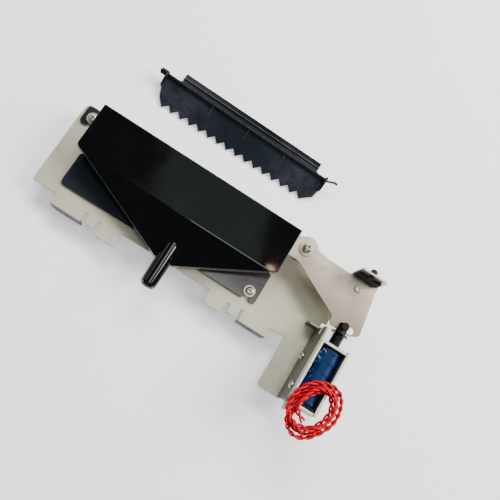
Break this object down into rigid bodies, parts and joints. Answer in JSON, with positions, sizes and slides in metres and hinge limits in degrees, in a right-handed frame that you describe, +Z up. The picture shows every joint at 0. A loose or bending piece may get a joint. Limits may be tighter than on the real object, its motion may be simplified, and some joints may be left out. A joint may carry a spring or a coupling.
{
  "type": "bill validator drain unit",
  "caption": "Folded steel base plate with a black drain hood on a gutter plate, a solenoid that pulls a pivoted lever, and a loose comb flap lying beside it.",
  "frame": {"origin": "centre of the footprint of the unit and its loose flap, on the surface they stand on; the solenoid's loose leads are left out", "axes": "+X along the hood towards the solenoid, +Y from the drain spout towards the comb flap, +Z up"},
  "size_m": [0.2566, 0.1883, 0.0545],
  "materials": {
    "plate": "zinc-plated sheet, satin, slightly yellow",
    "lever": "nickel-plated sheet, satin",
    "fastener": "bright zinc",
    "frame": "bright nickel-plated strip",
    "hood": "polished black",
    "gutter": "polished black",
    "oxide": "black oxide",
    "plastic": "moulded black",
    "comb": "moulded black, dusty and worn",
    "rubber": "matt",
    "bronze": "dull sintered bronze",
    "tape": "glossy blue tape with scuffs",
    "wire": "red insulation"
  },
  "bodies": {
    "unit": {"base_plate": "plate", "gutter_plate": "gutter", "drain_hood": "hood", "gutter_washer_left": "fastener", "gutter_screw_left": "fastener", "gutter_nut_left": "fastener", "gutter_washer_right": "fastener", "gutter_screw_right": "fastener", "gutter_nut_right": "fastener", "hood_screw_1": "fastener", "hood_screw_2": "fastener", "hood_screw_3": "fastener", "hood_screw_4": "fastener", "pivot_stud": "fastener", "pivot_nut": "fastener", "pivot_spacer": "plastic", "pivot_screw": "fastener", "solenoid_frame": "frame", "solenoid_yoke": "frame", "coil_bobbin": "plastic", "coil_winding": "tape", "fixed_core": "frame", "solenoid_screw_1": "fastener", "solenoid_screw_2": "fastener", "lead_grommet": "plastic", "return_spring": "oxide", "lead_pair": "wire", "lead_hank": "wire"},
    "lever": {"lever": "lever", "pivot_bush": "bronze", "lever_eyelet": "lever", "tab_pad": "rubber", "tab_bumper": "rubber"},
    "plunger": {"plunger": "oxide", "spring_washer": "oxide", "clevis_pin": "oxide", "pin_clip": "oxide"},
    "flap": {"comb_flap": "comb", "flap_axle": "fastener", "flap_bush": "plastic"}
  },
  "joints": [
    {"name": "lever_pivot", "type": "hinge", "parent": "unit", "child": "lever", "pos_m": [0.06129, 0.01343, 0.034], "axis": [0, 0, 1], "range_deg": [-5, 0]},
    {"name": "plunger_slide", "type": "slide", "parent": "unit", "child": "plunger", "axis": [0, 1, 0], "range_m": [-0.00434, 0], "stiffness_N_per_m": 200, "springref_m": 0.003, "deforming": ["return_spring"]},
    {"name": "flap_lift", "type": "slide", "parent": "unit", "child": "flap", "axis": [0, 0, 1], "range_m": [0, 0.06]}
  ],
  "couplings": [
    {"joint": "lever_pivot", "follows": "plunger_slide", "rad_per_m": 20.101}
  ]
}
